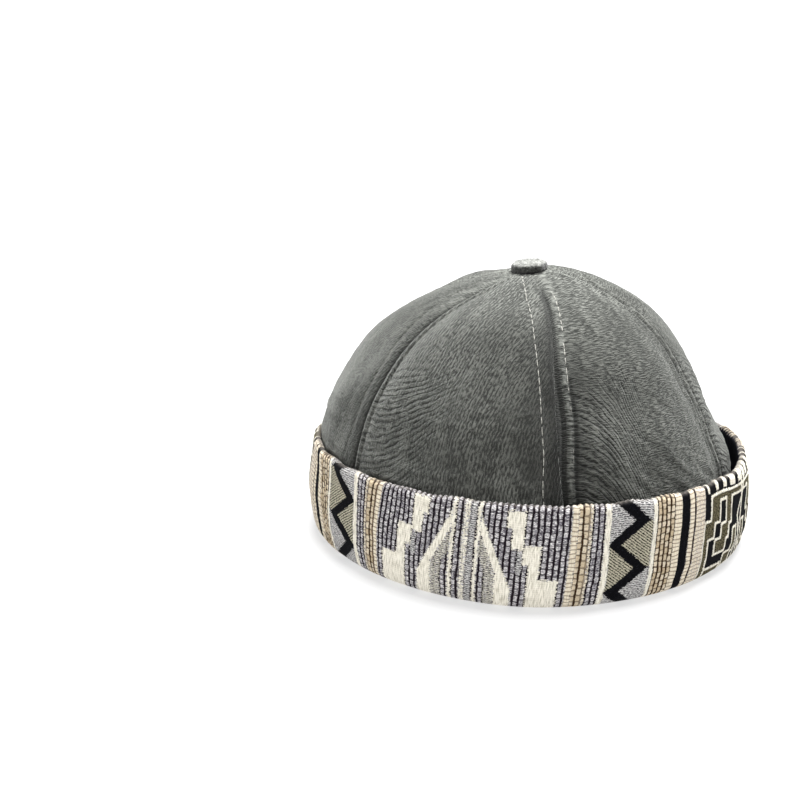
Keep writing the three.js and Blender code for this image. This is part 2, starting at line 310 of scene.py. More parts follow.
def seam_profile(past, along, azimuth):
    """The section of a seam: past is the distance from its groove, less than 0 before it.
    Past the groove the allowance makes a ridge, and where the cloth gathers it closes the groove."""
    gather, before, after = seam_pockets(past, along, azimuth)
    tight = gather ** 3
    groove = -SEAM_DEPTH * bump(past, SEAM_REACH) - (0.68 - 0.6 * tight) * bump(past, 1.0)
    far = (0.4 + 0.5 * tight) * bump(-past - 3.6 + 1.1 * tight, 2.0 - 0.3 * tight)
    far -= 0.25 * bump(-past - stitch_offset(-1, along), 0.9)
    far -= 0.6 * gather * before
    near = 0.85 * bump(past - 2.8, 1.7) - 0.45 * bump(past - stitch_offset(1, along), 0.8)
    near -= gather * after
    return groove + np.where(past > 0, near, far)


def seam_shade(past, along, azimuth):
    """Painted shade in the groove, along the row, at the border and in the pockets, and painted highlight,
    less than 0, on the ridges.
    """
    gather, before, after = seam_pockets(past, along, azimuth)
    is_main = azimuth % 360 == MAIN_SEAM
    main = 1.0 if is_main else 0.3
    low, fades = 1 - 0.75 * smooth(along, 70, 135), 1 - smooth(along, 135, 152)
    # painted shade: wide and soft beside the main seam, in the groove, along the row, at the border and in
    # the hollows; painted highlight on the ridges
    wide = main * np.where(past > 0, bump(past, 11), bump(past, 13) ** 0.6) * low
    closed = 1 - 0.8 * gather * (not is_main)
    groove = (0.35 + 0.75 * main) * closed * bump(past, 1.3 + 0.7 * main) * fades
    row = main * 0.7 * bump(past - stitch_offset(1, along), 1.2) * (1 - smooth(along, 84, 98))
    painted_highlight = 0.35 * gather ** 3 * fades
    ridge = main * 1.25 * bump(past - 3.0, 1.9) + painted_highlight * (bump(past - 3.0, 1.6) + bump(past + 2.5, 1.4))
    hollows = gather * np.where(past > 0, after, before)
    border = main * 0.8 * bump(past + seam_bend(azimuth, along), 0.9) * (1 - smooth(along, 90, 110))
    return 0.75 * wide + groove + row + border - ridge + 0.8 * hollows


def beside_seams(section, panel, after, before, along):
    """A section of both seams of a panel, at a distance after its first seam and before its last."""
    far = section(-before - seam_bend(panel.end, along), along, panel.end)
    return far + section(after - seam_bend(panel.start, along), along, panel.start)


def from_seams(panel, azimuth, share):
    """How far a point lies after a panel's first seam, before its last one and along the crown's outline."""
    radius = crown_radius(share)
    after, before = np.radians(azimuth - panel.start) * radius, np.radians(panel.end - azimuth) * radius
    return after, before, share * CROWN_ARC


def from_middle(panel, azimuth, share):
    return np.radians(azimuth - (panel.start + panel.end) / 2) * crown_radius(share)


def panel_relief(panel, azimuth, share):
    """How far a panel's cloth stands off the crown's plain surface."""
    height, radius, _ = np.moveaxis(spline(CROWN_ROWS, share), -1, 0)
    after, before, along = from_seams(panel, azimuth, share)
    middle = np.minimum(before, after)
    full = 1.1 * (1 - bump(middle, 17.5)) * np.minimum(1, radius / 80)
    away = smooth(middle, 4, 16)
    low = bump(height - 44, 26)
    x = from_middle(panel, azimuth, share)
    soft = 0.45 * waves(x, along, 34, 60, 60, panel.seed) * away
    folds = 0.16 * waves(x, along, 7.5, 75, 22, panel.seed + 1) * away * (0.35 + low)
    creases = 0.07 * waves(x, along, 3.0, 80, 18, panel.seed + 2) * (0.4 + low) * smooth(middle, 2, 8)
    puckers = waves(after, along, 3.0, 88, 6, 11) * bump(after - 4.0, 3.0) * 0.12
    puckers += waves(before, along, 3.2, 92, 6, 12) * bump(before - 6.0, 3.2) * 0.08
    seams = beside_seams(seam_profile, panel, after, before, along) + puckers
    return full + (seams + soft + folds + creases) * np.minimum(1, radius / 30)


def crown_panel(name, panel):
    is_back = name == "panel_back"

    def spread(s, t):
        """The azimuth and share of a point of the grid, and the share where its column begins.
        The columns lie closer together beside the seams."""
        low = crown_share(HEM_HEIGHT + HEM_ARCH * (1 - (2 * s - 1) ** 2)) if is_back else 0.0
        share = low + t * (1 - low)
        eased = s - 0.09 * np.sin(2 * np.pi * s)
        trim = np.degrees(0.03 / crown_radius(share))
        azimuth = panel.start + (panel.end - panel.start) * eased
        return np.clip(azimuth, panel.start + trim, panel.end - trim), share, low

    def place(s, t):
        azimuth, share, low = spread(s, t)
        lift = panel_relief(panel, azimuth, share)
        if is_back:
            past = (share - low) * CROWN_ARC
            hem = 1.1 * bump(past - 2.2, 2.2) - 0.45 * bump(past - HEM_BAND, 0.9) - 1.2 * bump(past, 0.9)
            lift = lift + hem
        return crown_surface(azimuth, share, lift)

    def cloth_map(s, t):
        azimuth, share, _ = spread(s, t)
        return from_middle(panel, azimuth, share) / MAP_UNIT, share * CROWN_ARC / MAP_UNIT

    def fan_map(s, t):
        after, _, along = from_seams(panel, *spread(s, t)[:2])
        return after / MAP_UNIT, (along + panel.fall * np.maximum(after - 5, 0) ** 2 / 22) / panel.pitch

    def crease(s, t):
        after, _, along = from_seams(panel, *spread(s, t)[:2])
        near = 1 - smooth(after, panel.reach * 0.6, panel.reach * 1.3)
        return near * (1 - smooth(along, 74, 100)) * smooth(after, 0, 5)

    # painted shade and painted highlight beside the seams, for the cloth's colour
    def painted_seam_shading(s, t):
        return np.clip(beside_seams(seam_shade, panel, *from_seams(panel, *spread(s, t)[:2])), -1, 1)

    maps = {"cloth": cloth_map, "fan": fan_map}
    attributes = {"twill": lambda s, t: panel.twill, "crease": crease, "painted_seam_shading": painted_seam_shading}
    bm = bent_grid(104, 110 if is_back else 150, place, maps, attributes)
    sheet(f"cloth_{name}", bm, CLOTH, -1, crown_cloth(), name)


def seam_tape(name):
    """The taped seam allowance inside the crown."""
    low = crown_share(HEM_CLEAR if name.startswith("back") else 5.0)

    def place(s, t):
        share = low + t * (TAPE_TO - low)
        radius = crown_radius(share)
        away = (s - 0.5) * TAPE_WIDTH * np.minimum(1, radius / 26)
        groove = -SEAM_DEPTH * bump(away, SEAM_REACH) - 0.3 * bump(np.abs(away) - TAPE_WIDTH / 2, 0.6)
        lift = groove * np.minimum(1, radius / 30) - CLOTH - 0.75
        lift = lift + 0.12 * waves(away, share * CROWN_ARC, 5.0, 90, 8, 21)
        return crown_surface(SEAMS[name] + np.degrees(away / radius), share, lift)

    def cloth_map(s, t):
        return s * TAPE_WIDTH / MAP_UNIT, t * CROWN_ARC / MAP_UNIT

    bm = bent_grid(14, 90, place, {"cloth": cloth_map})
    sheet(f"seam_tape_{name}", bm, TAPE_WALL, 0, crown_cloth())


# The cuff

# The woven pattern, charted in millimetres. p runs outwards from the pattern's middle line near the front,
# is mirrored there and folds back at the diamond column; q runs up the cuff.
CHART_RADIUS = 100  # the cuff's radius by which the pattern is charted
FOLD = 147.0
CHAIN_FIRST, CHAIN_PITCH, BEAD_PITCH, TAN_SHIFT = 7.0, 2.47, 2.6, 0.7
CREAM_STRIPES = ((0, 1.0), (4.6, 6.2), (42.6, 45.2), (50.2, 51.2), (57, 59.6), (79.8, 81.8), (91.8, 95.6),
                 (100.4, 103.3), (104.5, 111.4))
TAN_STRIPES = ((45.2, 50.2), (81.8, 91.8))
DARK_LINES = ((1.0, 1.35), (4.2, 4.6), (56.6, 57.0), (103.3, 104.5))
NAVY_STRIPES = ((95.6, 100.4),)
# blocks of cream that step down between the arms: p from, p to, q from, q to
CREAM_STEPS = ((16.9, 24.3, 34.2, 40.6), (19.35, 24.3, 26, 35), (24.3, 31.4, 20, 27.9),
               (26.8, 31.2, 14.2, 21), (26.8, 39.1, -12, 14.7))
GREY_PATCHES = ((21.8, 24.3, 17, 25),)
FRET_START = 111.6
# the olive steps of the fret
FRET_STEPS = ((112.6, 115.6, -2, 24), (112.6, 120, 23, 30), (117.5, 124, 29.5, 40), (118, 147, 38.6, 40.6),
              (122.6, 130.6, 15.3, 20.8), (126.7, 132.7, 20.8, 27), (131, 135.5, 27, 40),
              (133, 139.5, 7.5, 12.5), (138.5, 142, 12.5, 22.5), (117, 130, -2, 8.5))
ZIGZAG = {"from": 59.6, "to": 79.8, "outer": 75.0, "swing": 12.5, "top": 37.0, "half": 9.42, "thick": 3.9}
# each yarn, and how ragged its borders are
YARNS = {"cream": 1.2, "tan": 0.8, "grey": 1.6, "olive": 1.6, "navy": 2.2, "dark": 1.0, "speckle": 1.6}
# yarns that lie over the knots: name, level and how fully they cover what is under them
YARN_LEVELS = (("grey", 0.05, 0.6), ("olive", 0.08, 0.6), ("navy", 0.0, 1), ("dark", -0.2, 1),
               ("cream", 0.26, 1))
FOOT_INNER, FOOT_EDGE = 89.2, 89.5
FACE_LOW, FACE_HIGH, RIM_TOP, RIM_RADIUS = 5.2, 39.4, 41.8, 98.85
FOLD_START, INNER_FOLD = CUFF_ROWS[0, 1] - CUFF_WALL / 2 - 3.4, 1.6
RIM_YARN = 6.6  # length of the pattern that goes over the rim


def triangle(x):
    """0 at even numbers, 1 at odd ones."""
    return 1 - np.abs(np.mod(x, 2) - 1)


def any_of(*depths):
    return np.maximum.reduce(depths)


def all_of(*depths):
    return np.minimum.reduce(np.broadcast_arrays(*depths))


def in_boxes(p, q, boxes):
    """How far inside the nearest of some rectangles a point is; less than 0 outside."""
    return any_of(*(all_of(p - a, b - p, q - c, d - q) for a, b, c, d in boxes))


def stripes(p, spans):
    return any_of(*(np.minimum(p - a, b - p) for a, b in spans))


def lean_of(u):
    """How far the columns lean, per millimetre of height."""
    return np.interp(u, (-85, -60, -42, 0, 50, 100), (-0.18, -0.08, 0.07, 0.06, 0.07, 0.08))


def chart_place(azimuth, v):
    """Where a point of the cuff lies in the pattern: w across, not yet folded, and q up."""
    u = np.radians(azimuth - 4.5) * CHART_RADIUS
    return u + 0.7 - lean_of(u) * (v - 20), v + 0.034 * u


def yarns(w, q):
    """How far inside each yarn's area a point of the pattern lies, in millimetres."""
    p = np.abs(w)
    p = FOLD * triangle(p / FOLD)
    arm_in = np.clip(6.2 + (31 - q) * 0.5, 6.2, 13.8)
    arm_out = np.minimum(6.0 + (38 - q) * 0.52, 20.5)
    arms = all_of(p - arm_in, arm_out - p, 41 - q, p - 6.2)
    zig = ZIGZAG
    middle = zig["outer"] - zig["swing"] * triangle((q - zig["top"]) / zig["half"])
    in_zone = np.minimum(p - zig["from"], zig["to"] - p)
    band = np.minimum(in_zone + 0.8, 0.8 * (zig["thick"] - np.abs(p - middle)))
    # the teeth on each side of the zigzag are grey and olive by turns
    near_teeth, far_teeth = np.minimum(in_zone, middle - p - 3.0), np.minimum(in_zone, p - middle - 3.0)
    near_olive = np.mod(np.round((q - zig["top"]) / (2 * zig["half"])), 2) * 2 - 1
    far_olive = 1 - np.mod(np.round((q - zig["top"] + zig["half"]) / (2 * zig["half"])), 2) * 2
    grey_teeth, olive_teeth = (
        any_of(np.minimum(near_teeth, sign * near_olive * 4), np.minimum(far_teeth, sign * far_olive * 4))
        for sign in (-1, 1))
    in_fret = p - FRET_START
    olive_steps = in_boxes(p, q, FRET_STEPS)
    fret_edge = all_of(in_fret, olive_steps + 1.2, -olive_steps)
    lozenge = np.minimum(0.7 - np.abs((FOLD - p) - 2.8 * triangle(q / 9)), in_fret)
    wide = 1.0 + 0.5 * np.sin(p * 0.9) + np.clip((p - 124) * 0.12, 0, 1.2)
    rim_blocks = all_of(p - 114, q - 42.7, wide - np.abs(np.mod(p, 7.4) - 3.7))
    speckle = all_of(p - np.maximum(arm_in - 4.4, 6.2), arm_in - p, 40 - q)
    hatch = all_of(p - 1.35, 4.2 - p, w * 0.5)
    steps = in_boxes(p, q, CREAM_STEPS)
    cream = any_of(stripes(p, CREAM_STRIPES), arms, steps, fret_edge, lozenge, rim_blocks)
    areas = (cream, stripes(p, TAN_STRIPES), any_of(hatch, in_boxes(p, q, GREY_PATCHES), grey_teeth),
             any_of(np.minimum(olive_steps, in_fret), olive_teeth),
             any_of(band, stripes(p, NAVY_STRIPES), in_fret), stripes(p, DARK_LINES), speckle)
    return dict(zip(YARNS, areas))


def bead_shape(p, q):
    """Knots of the chains: 1 at the middle of a knot and 0 or less between them."""
    in_tan = ((p > 45) & (p < 50.5)) | ((p > 81) & (p < 92))
    place = (p - TAN_SHIFT * in_tan - CHAIN_FIRST) / CHAIN_PITCH
    column = np.floor(place)
    x = place - column - 0.5
    pitch = BEAD_PITCH * (0.86 + 0.28 * np.mod(column * 0.618, 1))
    y = np.mod(q / pitch + column * 0.382, 1) - 0.5
    return 1 - (x / 0.47) ** 4 - 0.75 * (y / 0.5) ** 4


def weave_relief(w, q):
    """How high the yarns stand."""
    areas = yarns(w, q)
    relief = 0.5 * np.sqrt(np.clip(bead_shape(FOLD * triangle(np.abs(w) / FOLD), q), 0, 1)) - 0.12
    for name, level, cover in YARN_LEVELS:
        relief = relief + (level - relief) * smooth(areas[name], -0.25, 0.3) * cover
    return relief


def cuff_section():
    """The cuff's section, once round it from the foot's inner edge. Each row has its radius and height,
    the two parts of its way out, and its height in the pattern."""
    half = CUFF_WALL / 2

    def arc(radius, height, wide, high, angle, side=1):
        out, up = math.sin(math.radians(angle)), -math.cos(math.radians(angle))
        return radius + wide * out, height + high * up, side * out, side * up

    def on_face(height, side, v):
        return cuff_radius(height) - CUFF_WALL * (side < 0), height, side, 0, v

    # how many rows of the grid each part has, and its points from 0 to 1 along it
    face, top = FACE_HIGH - FACE_LOW, FACE_HIGH + RIM_YARN
    parts = (
        (2, lambda t: (FOOT_EDGE + t * (FOLD_START - FOOT_EDGE), 0.0, 0, -1, -10 + 4.5 * t)),
        (11, lambda t: (*arc(FOLD_START, FACE_LOW, FACE_LOW, FACE_LOW, 90 * t), FACE_LOW - 8.17 * (1 - t))),
        (66, lambda t: on_face(FACE_LOW + t * face, 1, FACE_LOW + t * face)),
        (13, lambda t: (*arc(RIM_RADIUS - half, FACE_HIGH, half, RIM_TOP - FACE_HIGH, 90 + 180 * t),
                        FACE_HIGH + RIM_YARN * t)),
        (7, lambda t: on_face(FACE_HIGH - t * face, -1, top + t * 34)),
        (2, lambda t: (*arc(FOLD_START, FACE_LOW, INNER_FOLD, INNER_FOLD, 90 * (1 - t), -1), 82 + 2 * t)),
        (2, lambda t: (FOLD_START - t * (FOLD_START - FOOT_EDGE), CUFF_WALL, 0, 1, 85 + 4 * t)),
        (1, lambda t: (FOOT_INNER, half, -1, 0, 90)),
    )
    rows = [part(i / count) for count, part in parts for i in range(count)]
    return np.array(rows + rows[:1])


def make_cuff():
    section = cuff_section()
    row_count = len(section) - 1

    def station(t):
        return section[np.round(t * row_count).astype(int)]

    def around(s):
        return CUFF_END * (2 * s - 1)

    def charted(s, t):
        return chart_place(around(s), station(t)[:, 4])

    def place(s, t):
        radius, height, out, up, v = station(t).T
        azimuth = around(s)
        relief = weave_relief(*charted(s, t)) * smooth(v, -6, -3) * (1 - smooth(v, 44.5, 46.5))
        x = np.radians(azimuth) * CHART_RADIUS
        sway = 0.45 * waves(x, height * 0.4, 62, 10, 12, 301) * smooth(height, 4, 36)
        ease = 0.35 * waves(x, height, 26, 30, 40, 302) * smooth(height, 3, 14)
        rim = 0.30 * waves(x, 0 * x, 21, 0, 3, 303) * smooth(height, 30, 41)
        ripple = 0.22 * np.cos(2 * np.pi * x / CHAIN_PITCH) * smooth(v, 40.5, 42) * (1 - smooth(v, 45, 47))
        level = rim_lift(azimuth) * np.clip((height - 4.5) / 36.5, 0, 2)
        radius = (radius + out * relief + sway + ease) * plan_reach(azimuth, CUFF_LENGTH)
        height = height + up * relief * smooth(height, 0.5, 6) + level + rim + ripple * up
        return polar(azimuth, radius, height)

    def weave_map(s, t):
        w, q = charted(s, t)
        return w / MAP_UNIT, q / MAP_UNIT

    attributes = {name: lambda s, t, name=name: yarns(*charted(s, t))[name] for name in YARNS}
    attributes["v"] = lambda s, t: station(t)[:, 4]
    bm = bent_grid(860, row_count, place, {"weave": weave_map}, attributes)
    bmesh.ops.remove_doubles(bm, verts=bm.verts, dist=0.00001)
    bmesh.ops.holes_fill(bm, edges=[e for e in bm.edges if e.is_boundary])
    bmesh.ops.recalc_face_normals(bm, faces=bm.faces)
    new_piece("woven_cuff", bm, cuff_jacquard(), "cuff")


# Stitches

SEAM_STITCH, STRAP_STITCH = (3.6, 0.46, 0.45), (2.6, 0.7, 0.5)  # length, width and height
SEAM_PITCH, STRAP_PITCH = 4.3, 3.4
SUNK = 0.26  # how deep the stitches lie in the nap beside the other seams


def add_stitch(bm, middle, along, up, length, width, height):
    """One stitch: a short thread that dips into the cloth at both ends."""
    along = Vector(along).normalized()
    up = (Vector(up) - along * Vector(up).dot(along)).normalized()
    side = up.cross(along)
    turn = Matrix((side * width / 2, up * height / 2, along * length / 2)).transposed().to_4x4()
    place = Matrix.Translation(Vector(middle)) @ turn
    bmesh.ops.create_uvsphere(bm, u_segments=6, v_segments=5, radius=1, matrix=place)


def stitch_line(bm, path, lift, pitch, thread, seed, depth=lambda share: 0.0):
    """Stitches along a path, a function from a share to points; lift gives the way out of the cloth,
    and depth how deep they sink at a share of the way."""
    rng = np.random.default_rng(seed)
    points = (path(np.linspace(0, 1, 600)) + SHIFT) * MM
    run = np.concatenate(([0], np.cumsum(np.linalg.norm(np.diff(points, axis=0), axis=1))))
    length, width, height = thread
    for place in np.arange(0.6 * pitch, run[-1] / MM - 0.4 * pitch, pitch):
        at = (place + rng.uniform(-0.12, 0.12) * pitch) * MM
        middle, before, after = (
            np.array([np.interp(at + d * MM, run, points[:, k]) for k in range(3)]) for d in (0, -1, 1))
        up = lift(middle)
        size = length * rng.uniform(0.88, 1.1)
        sunk = (0.1 - depth(at / run[-1])) * MM
        add_stitch(bm, middle + up * sunk, after - before, up, size * MM, width * MM, height * MM)


def from_axis(point):
    """Outwards from a point inside the crown, for cloth that faces that way."""
    return np.array((Vector(point) - Vector((0, 0, 0.035))).normalized())


def level_out(point):
    return np.array(Vector((point[0], point[1], 0)).normalized())


def seam_stitches(name):
    """Two rows of topstitching, one on each side of a seam. Most of it is sunk in the nap, and beside the
    other seams its thread is a darker copy, painted shade.
    """
    shows = SEAMS[name] == MAIN_SEAM
    bm = bmesh.new()
    for side in (-1, 1):
        panel, seam = next((panel, end) for panel, end in
                           ((p, p.end if side < 0 else p.start) for p in PANELS.values())
                           if (end - SEAMS[name]) % 360 == 0)
        low = crown_share(HEM_CLEAR if panel is PANELS["panel_back"] else ROWS_FROM)

        def path(t):
            share = low + t * (ROWS_TO - low)
            radius = crown_radius(share)
            along = share * CROWN_ARC
            away = side * stitch_offset(side, along) * np.minimum(1, 0.5 + radius / 60)
            away = away + 0.5 * seam_bend(seam, along) * (side > 0)
            at = seam + np.degrees(away / radius)
            return crown_surface(at, share, panel_relief(panel, at, share) + 0.1)

        def depth(share):
            clear = smooth(share, 0.38, 0.47) - smooth(share, 0.78, 0.86)
            near = 0.02 if side < 0 else 0.45 - 0.4 * float(clear * (1 - 0.8 * bump(share - 0.61, 0.05)))
            return near if shows else SUNK

        stitch_line(bm, path, from_axis, SEAM_PITCH, SEAM_STITCH, 40 + side, depth)
    new_piece(f"stitches_{name}", bm, thread("seam_thread" if shows else "painted_shade_thread"))


# The casings and the straps

# where the folded casing begins and ends, and the shares of its cloth at which the inner layer ends and
# the fold beside the cuff ends
CASING_NEAR, CASING_FAR, CASING_INNER, CASING_FOLD = 138.4, 148.8, 0.40, 0.52


def make_casing(name, side):
    """A fold of crown cloth beside the cuff's end that holds the strap: a round bulge, then a flat edge."""
    low, high = CASING["inner"] + CLOTH / 2, CASING["outer"] - CLOTH / 2
    span = CASING_FAR - CASING_NEAR

    def place(s, t):
        # along the folded cloth: the inner layer, round the fold, and back over the outside
        height = 0.5 + t * (CASING["top"] - 0.8)
        turn = np.clip((s - CASING_INNER) / (CASING_FOLD - CASING_INNER), 0, 1) * np.pi
        inner = CASING_FAR - np.clip(s / CASING_INNER, 0, 1) * span
        outer = CASING_NEAR + np.clip((s - CASING_FOLD) / (1 - CASING_FOLD), 0, 1) * span
        in_fold = s < CASING_FOLD
        folded = CASING_NEAR - 0.9 * np.sin(turn)
        azimuth = np.where(s < CASING_INNER, inner, np.where(in_fold, folded, outer))
        away = np.where(s < CASING_INNER, -1, np.where(in_fold, -np.cos(turn), 1.0))
        outside = away > 0
        close = smooth(height, CASING["top"] - 5, CASING["top"]) ** 2
        foot = 1 - smooth(height, 0, 4)
        middle, gape = (low + high) / 2, (high - low) / 2 * (1 - 0.86 * close) * (1 - 0.25 * foot)
        across = (azimuth - CASING["from"]) / (CASING["to"] - CASING["from"])
        bulge = 0.75 * np.sqrt(np.clip(1 - ((across - 0.28) / 0.34) ** 2, 0, 1)) * (s > CASING_INNER)
        flat = (0.45 * bump(across - 0.66, 0.05) - 0.9 * smooth(across, 0.58, 0.66)) * outside
        folds = 0.12 * waves(height, across * 12, 3.2, 4, 14, 400 + side) * outside
        radius = middle + away * gape + (bulge + flat + folds) * (1 - close)
        return polar(azimuth * side, radius * plan_reach(azimuth * side, CUFF_LENGTH), height)

    def cloth_map(s, t):
        return (s * 26 + 3) / MAP_UNIT, t * CASING["top"] / MAP_UNIT

    bm = bent_grid(60, 90, place, {"cloth": cloth_map})
    sheet(f"cloth_casing_{name}", bm, CLOTH - 0.2, 0, crown_cloth(), f"casing_{name}")


STRAP_CORNER, STITCH_INSET, STRAP_SHOWN = 5.5, 4.2, 150.5
STRAP_MIDDLE = STRAP_BOTTOM + STRAP_WIDTH / 2


def strap_radius(azimuth):
    free = np.clip(1 - np.abs(turn_between(180, azimuth)) / (180 - CASING["to"]), 0, 1)
    return STRAP_SEWN + (STRAP_BACK - STRAP_SEWN) * free * (2 - free)


def strap_layer(azimuth, side):
    """The radius of a strap's middle layer, which moves out or in where the two straps overlap."""
    from_sewn = azimuth if side > 0 else 360 - azimuth
    apart = (STRAP_WALL + CLOSURE["wall"]) / 2 + 0.3
    shift = smooth(from_sewn, CASING["to"], INNER_END - 2) * apart * side
    return strap_radius(azimuth) * plan_reach(azimuth, CUFF_LENGTH) + shift


def make_strap(name, start, end, side):
    free_end = end if side > 0 else start

    def strap_azimuth(s):
        return start + (end - start) * (s - 0.06 * np.sin(2 * np.pi * s))

    def from_end(azimuth):
        return np.radians(np.abs(azimuth - free_end)) * STRAP_BACK

    def half_width(azimuth):
        inside = np.clip(STRAP_CORNER - from_end(azimuth), 0, STRAP_CORNER)
        return STRAP_WIDTH / 2 - STRAP_CORNER + np.sqrt(STRAP_CORNER ** 2 - inside ** 2)

    def place(s, t):
        azimuth = strap_azimuth(s)
        up = (2 * t - 1) * half_width(azimuth)
        rise = 0.35 * waves(np.radians(azimuth) * 95, up, 40, 10, 20, 500) * bump(up / 14, 2)
        return polar(azimuth, strap_layer(azimuth, side) + 0.12 * rise, STRAP_MIDDLE + up)

    def edge(s, t):
        azimuth = strap_azimuth(s)
        return np.minimum(from_end(azimuth), (1 - np.abs(2 * t - 1)) * half_width(azimuth))

    bm = bent_grid(100, 24, place, None, {"edge": edge})
    node = f"strap_{name}"
    obj = sheet(f"leather_{node}", bm, STRAP_WALL - 0.2, 0, strap_leather(), node)
    bevel = obj.modifiers.new("edges", "BEVEL")
    bevel.width = 0.45 * MM
    bevel.segments = 2
    bevel.limit_method = "ANGLE"
    bevel.angle_limit = math.radians(50)

    def path(t):
        # along the lower edge, round the free end and back along the upper edge
        shown = STRAP_SHOWN if side > 0 else 360 - STRAP_SHOWN
        reach = free_end - side * np.degrees(STITCH_INSET / STRAP_BACK)
        low, high = -(STRAP_WIDTH / 2 - STITCH_INSET), STRAP_WIDTH / 2 - STITCH_INSET
        run = np.radians(abs(reach - shown)) * STRAP_BACK
        at = t * (2 * run + high - low)
        back = at - run - high + low
        azimuth = np.where(at < run, shown + (reach - shown) * at / run,
                           np.where(at > run + high - low, reach - (reach - shown) * back / run, reach))
        radius = strap_layer(azimuth, side) + STRAP_WALL / 2 - 0.1
        return polar(azimuth, radius, STRAP_MIDDLE + np.clip(low + at - run, low, high))

    stitches = bmesh.new()
    stitch_line(stitches, path, level_out, STRAP_PITCH, STRAP_STITCH, 60)
    new_piece(f"stitches_{node}", stitches, thread("strap_thread"))


def make_closure():
    """The pad that holds the two straps together where they overlap."""
    def place(s, t):
        azimuth = CLOSURE["from"] + s * (CLOSURE["to"] - CLOSURE["from"])
        radius = strap_radius(azimuth) * plan_reach(azimuth, CUFF_LENGTH)
        return polar(azimuth, radius, STRAP_MIDDLE + (t - 0.5) * CLOSURE["width"])

    bm = bent_grid(40, 20, place)
    sheet("fastening_pad", bm, CLOSURE["wall"], 0, closure_tape(), "strap_closure")


# The button

BUTTON = {"azimuth": LEAN_AZIMUTH, "away": 2.8, "seat": 119.6, "tilt": -5.5}
BUTTON_EDGE = 7.2
FIBRES = {"count": 420, "root": 0.035, "tip": 0.008}
# radius and height of the button's outline
BUTTON_ROWS = np.array((
    (0.0, -6.5), (2.2, -6.5), (2.2, 0.1), (5.6, -0.3), (7.2, 0.1), (7.9, 1.2), (8.0, 2.4), (7.8, 3.4),
    (7.0, 4.4), (5.4, 5.0), (3.4, 5.3), (1.6, 5.4), (0.0, 5.4)))


def at_place(azimuth, away, height):
    """The move to a place given from the cap's own axis."""
    return Matrix.Translation(Vector((polar(np.array(azimuth), away, height) + SHIFT) * MM))


def turned(angle, axis):
    return Matrix.Rotation(math.radians(angle), 4, axis)


def button_place():
    return at_place(BUTTON["azimuth"], BUTTON["away"], BUTTON["seat"]) @ turned(BUTTON["tilt"], "Y")


def make_button():
    line = spline(BUTTON_ROWS, np.linspace(0, 1, 61))
    line[:, 0] = np.maximum(line[:, 0], 0)
    bm = bmesh.new()
    verts = [bm.verts.new((r * MM, 0, h * MM)) for r, h in line]
    edges = [bm.edges.new(pair) for pair in zip(verts, verts[1:])]
    bmesh.ops.spin(bm, geom=verts + edges, cent=(0, 0, 0), axis=(0, 0, 1), angle=2 * math.pi, steps=72,
                   use_merge=True)
    bmesh.ops.remove_doubles(bm, verts=bm.verts, dist=0.00001)
    bmesh.ops.recalc_face_normals(bm, faces=bm.faces)
    painted_light_and_shade = bm.verts.layers.float.new("painted_light_and_shade")
    for v in bm.verts:
        x, y, z = np.array(v.co) / MM
        # 1 on the top for painted light, 0 round the side and -1 underneath for painted shade
        v[painted_light_and_shade] = float(smooth(z, 3.0, 4.7) - 1 + smooth(z, 0.4, 1.8))
        around = math.degrees(math.atan2(x, -y))
        out = 0.28 * float(waves(x, y, 3.1, 30, 80, 601)) * (z > 0)
        fold = 0.22 * math.cos(math.radians(around * 6 + 20)) * float(smooth(z, 0.2, 2.0)) * (z < 4.8)
        size = 1 + (0.4 * out + fold) * MM / max(math.hypot(v.co.x, v.co.y), 0.003)
        v.co.x, v.co.y = v.co.x * size, v.co.y * size
        v.co.z += 0.5 * out * MM
    bmesh.ops.transform(bm, matrix=button_place(), verts=bm.verts)
    new_piece("covered_button", bm, button_cloth(), "crown_button")


def make_button_fuzz():
    """Short fibres that stand off the button's cloth."""
    rng = np.random.default_rng(611)
    bm = bmesh.new()
    painted_light_and_shade = bm.verts.layers.float.new("painted_light_and_shade")
    for _ in range(FIBRES["count"]):
        turn = rng.uniform(0, 2 * math.pi)
        reach = 7.9 * math.sqrt(rng.uniform(0, 1))
        on_top = reach <= BUTTON_EDGE
        height = 5.3 - 1.9 * max(0, (reach - 4.5) / 3.5) ** 2 if on_top else rng.uniform(1.0, 4.0)
        root = Vector((reach * math.cos(turn), reach * math.sin(turn), height))
        way = (root - Vector((0, 0, -3))).normalized() + Vector(rng.normal(0, 0.9, 3))
        way.normalize()
        length = rng.uniform(0.6, 1.5)
        rng.normal(0, 1, 3)  # these three draws aren't used, and keep the next fibres where they are
        verts = bmesh.ops.create_cone(bm, cap_ends=False, segments=3, radius1=FIBRES["root"],
                                      radius2=FIBRES["tip"], depth=length)["verts"]
        turn_to = way.to_track_quat("Z", "Y").to_matrix().to_4x4()
        bmesh.ops.transform(bm, matrix=Matrix.Translation(root + way * length * 0.4) @ turn_to, verts=verts)
        # fibres on top take the painted light
        for v in verts:
            v[painted_light_and_shade] = 1.0 if on_top else 0.2
    bmesh.ops.scale(bm, vec=(MM, MM, MM), verts=bm.verts)
    bmesh.ops.transform(bm, matrix=button_place(), verts=bm.verts)
    new_piece("button_nap", bm, button_cloth())


# Materials

def maths(operation, reflected=False):
    """A method of Value that adds one Math node."""
    def apply(self, *others):
        terms = (*others, self) if reflected else (self, *others)
        return self.paint.node("ShaderNodeMath", {"operation": operation}, dict(enumerate(terms)))
    return apply


